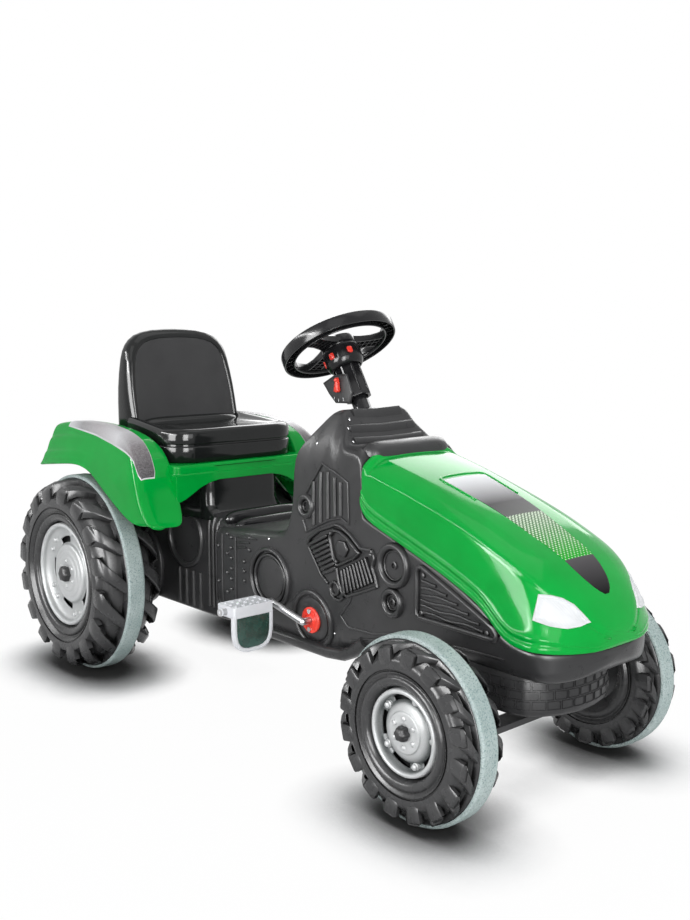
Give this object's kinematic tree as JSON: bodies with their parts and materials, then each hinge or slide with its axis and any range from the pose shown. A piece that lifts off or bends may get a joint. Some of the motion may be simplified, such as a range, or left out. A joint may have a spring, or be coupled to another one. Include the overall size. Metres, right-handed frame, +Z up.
{
  "type": "ride-on pedal tractor toy",
  "caption": "Child's ride-on pedal tractor with moulded body, hood, fenders and seat, chain-driven lugged rear wheels and steered front wheels.",
  "frame": {"origin": "on the ground under the middle of the tractor's length and width", "axes": "+X forward, +Y to the driver's left, +Z up"},
  "size_m": [1.055, 0.4556, 0.5759],
  "materials": {
    "black_tyre": "satin moulded",
    "grip_band": "grained",
    "silver_rim": "silver",
    "green_shell": "gloss",
    "lamp_lens": "gloss",
    "black_gloss": "gloss",
    "red_plastic": "gloss",
    "dark_panel": "gloss",
    "white_plastic": "gloss",
    "steel": "bright",
    "black_plastic": "satin moulded"
  },
  "bodies": {
    "chassis": {"body_shell": "black_plastic", "column_sleeve": "black_plastic", "column_tube": "black_plastic", "crank_bush_left": "red_plastic", "crank_bush_right": "red_plastic", "crank_screws_left": "steel", "crank_screws_right": "steel", "drive_chain": "steel", "fender_deck": "green_shell", "front_axle_block": "black_plastic", "gear_plate": "black_plastic", "headlamp_left": "lamp_lens", "headlamp_right": "lamp_lens", "hood": "green_shell", "kingpin_left": "steel", "kingpin_right": "steel", "rear_axle_bush_left": "black_plastic", "rear_axle_bush_right": "black_plastic", "seat": "black_gloss", "seat_bolt_left": "steel", "seat_bolt_right": "steel", "steering_bracket": "black_plastic", "tow_hitch": "steel"},
    "crank": {"crankshaft": "steel", "crank_sprocket": "steel", "pedal_cap_right": "black_plastic", "pedal_cap_left": "black_plastic"},
    "pedal_right": {"pedal_right": "white_plastic", "pedal_panel_right": "dark_panel"},
    "pedal_left": {"pedal_left": "white_plastic", "pedal_panel_left": "dark_panel"},
    "rear_axle": {"rear_axle": "steel", "rear_sprocket": "steel", "rear_tyre_right": "black_tyre", "rear_band_right": "grip_band", "rear_rim_right": "silver_rim", "rear_cap_right": "black_plastic", "rear_cap_left": "black_plastic"},
    "rear_wheel_left": {"rear_tyre_left": "black_tyre", "rear_band_left": "grip_band", "rear_rim_left": "silver_rim"},
    "steering": {"steering_shaft": "steel", "steering_wheel": "black_plastic", "hub_collar": "black_plastic", "snap_tabs": "red_plastic"},
    "gear_lever": {"gear_lever": "red_plastic"},
    "steering_slide": {"steering_slide": "steel"},
    "knuckle_right": {"knuckle_right": "steel", "front_cap_right": "black_plastic"},
    "front_wheel_right": {"front_tyre_right": "black_tyre", "front_band_right": "grip_band", "front_rim_right": "silver_rim"},
    "knuckle_left": {"knuckle_left": "steel", "front_cap_left": "black_plastic"},
    "front_wheel_left": {"front_tyre_left": "black_tyre", "front_band_left": "grip_band", "front_rim_left": "silver_rim"}
  },
  "joints": [
    {"name": "crank_spin", "type": "hinge", "parent": "chassis", "child": "crank", "pos_m": [0.10033, 0, 0.158], "axis": [0, 1, 0], "continuous": true, "deforming": ["drive_chain"]},
    {"name": "rear_axle_spin", "type": "hinge", "parent": "chassis", "child": "rear_axle", "pos_m": [-0.3695, 0, 0.158], "axis": [0, 1, 0], "continuous": true},
    {"name": "rear_left_spin", "type": "hinge", "parent": "rear_axle", "child": "rear_wheel_left", "pos_m": [-0.3695, 0.173, 0.158], "axis": [0, 1, 0], "continuous": true},
    {"name": "steering_turn", "type": "hinge", "parent": "chassis", "child": "steering", "pos_m": [0.0545, 0, 0.5265], "axis": [-0.5075, 0, 0.8616], "range_deg": [-30, 30]},
    {"name": "slide_shift", "type": "slide", "parent": "chassis", "child": "steering_slide", "axis": [0, 1, 0], "range_m": [-0.0171, 0.0171]},
    {"name": "gear_shift", "type": "hinge", "parent": "chassis", "child": "gear_lever", "pos_m": [0.07825, -0.021, 0.4792], "axis": [0, 1, 0], "range_deg": [-20, 20]},
    {"name": "pedal_right_spin", "type": "hinge", "parent": "crank", "child": "pedal_right", "pos_m": [0.03186, -0.149, 0.17255], "axis": [0, 1, 0], "continuous": true},
    {"name": "knuckle_right_turn", "type": "hinge", "parent": "chassis", "child": "knuckle_right", "pos_m": [0.3805, -0.106, 0.108], "axis": [0, 0, 1], "range_deg": [-26.6, 26.6]},
    {"name": "front_right_spin", "type": "hinge", "parent": "knuckle_right", "child": "front_wheel_right", "pos_m": [0.3805, -0.169, 0.108], "axis": [0, 1, 0], "continuous": true},
    {"name": "pedal_left_spin", "type": "hinge", "parent": "crank", "child": "pedal_left", "pos_m": [0.1688, 0.149, 0.14345], "axis": [0, 1, 0], "continuous": true},
    {"name": "knuckle_left_turn", "type": "hinge", "parent": "chassis", "child": "knuckle_left", "pos_m": [0.3805, 0.106, 0.108], "axis": [0, 0, 1], "range_deg": [-26.6, 26.6]},
    {"name": "front_left_spin", "type": "hinge", "parent": "knuckle_left", "child": "front_wheel_left", "pos_m": [0.3805, 0.169, 0.108], "axis": [0, 1, 0], "continuous": true}
  ],
  "couplings": [
    {"joint": "rear_axle_spin", "follows": "crank_spin", "ratio": 1.2},
    {"joint": "slide_shift", "follows": "steering_turn", "m_per_rad": 0.03247},
    {"joint": "knuckle_right_turn", "follows": "steering_turn", "ratio": 0.8833},
    {"joint": "knuckle_left_turn", "follows": "steering_turn", "ratio": 0.8833}
  ]
}
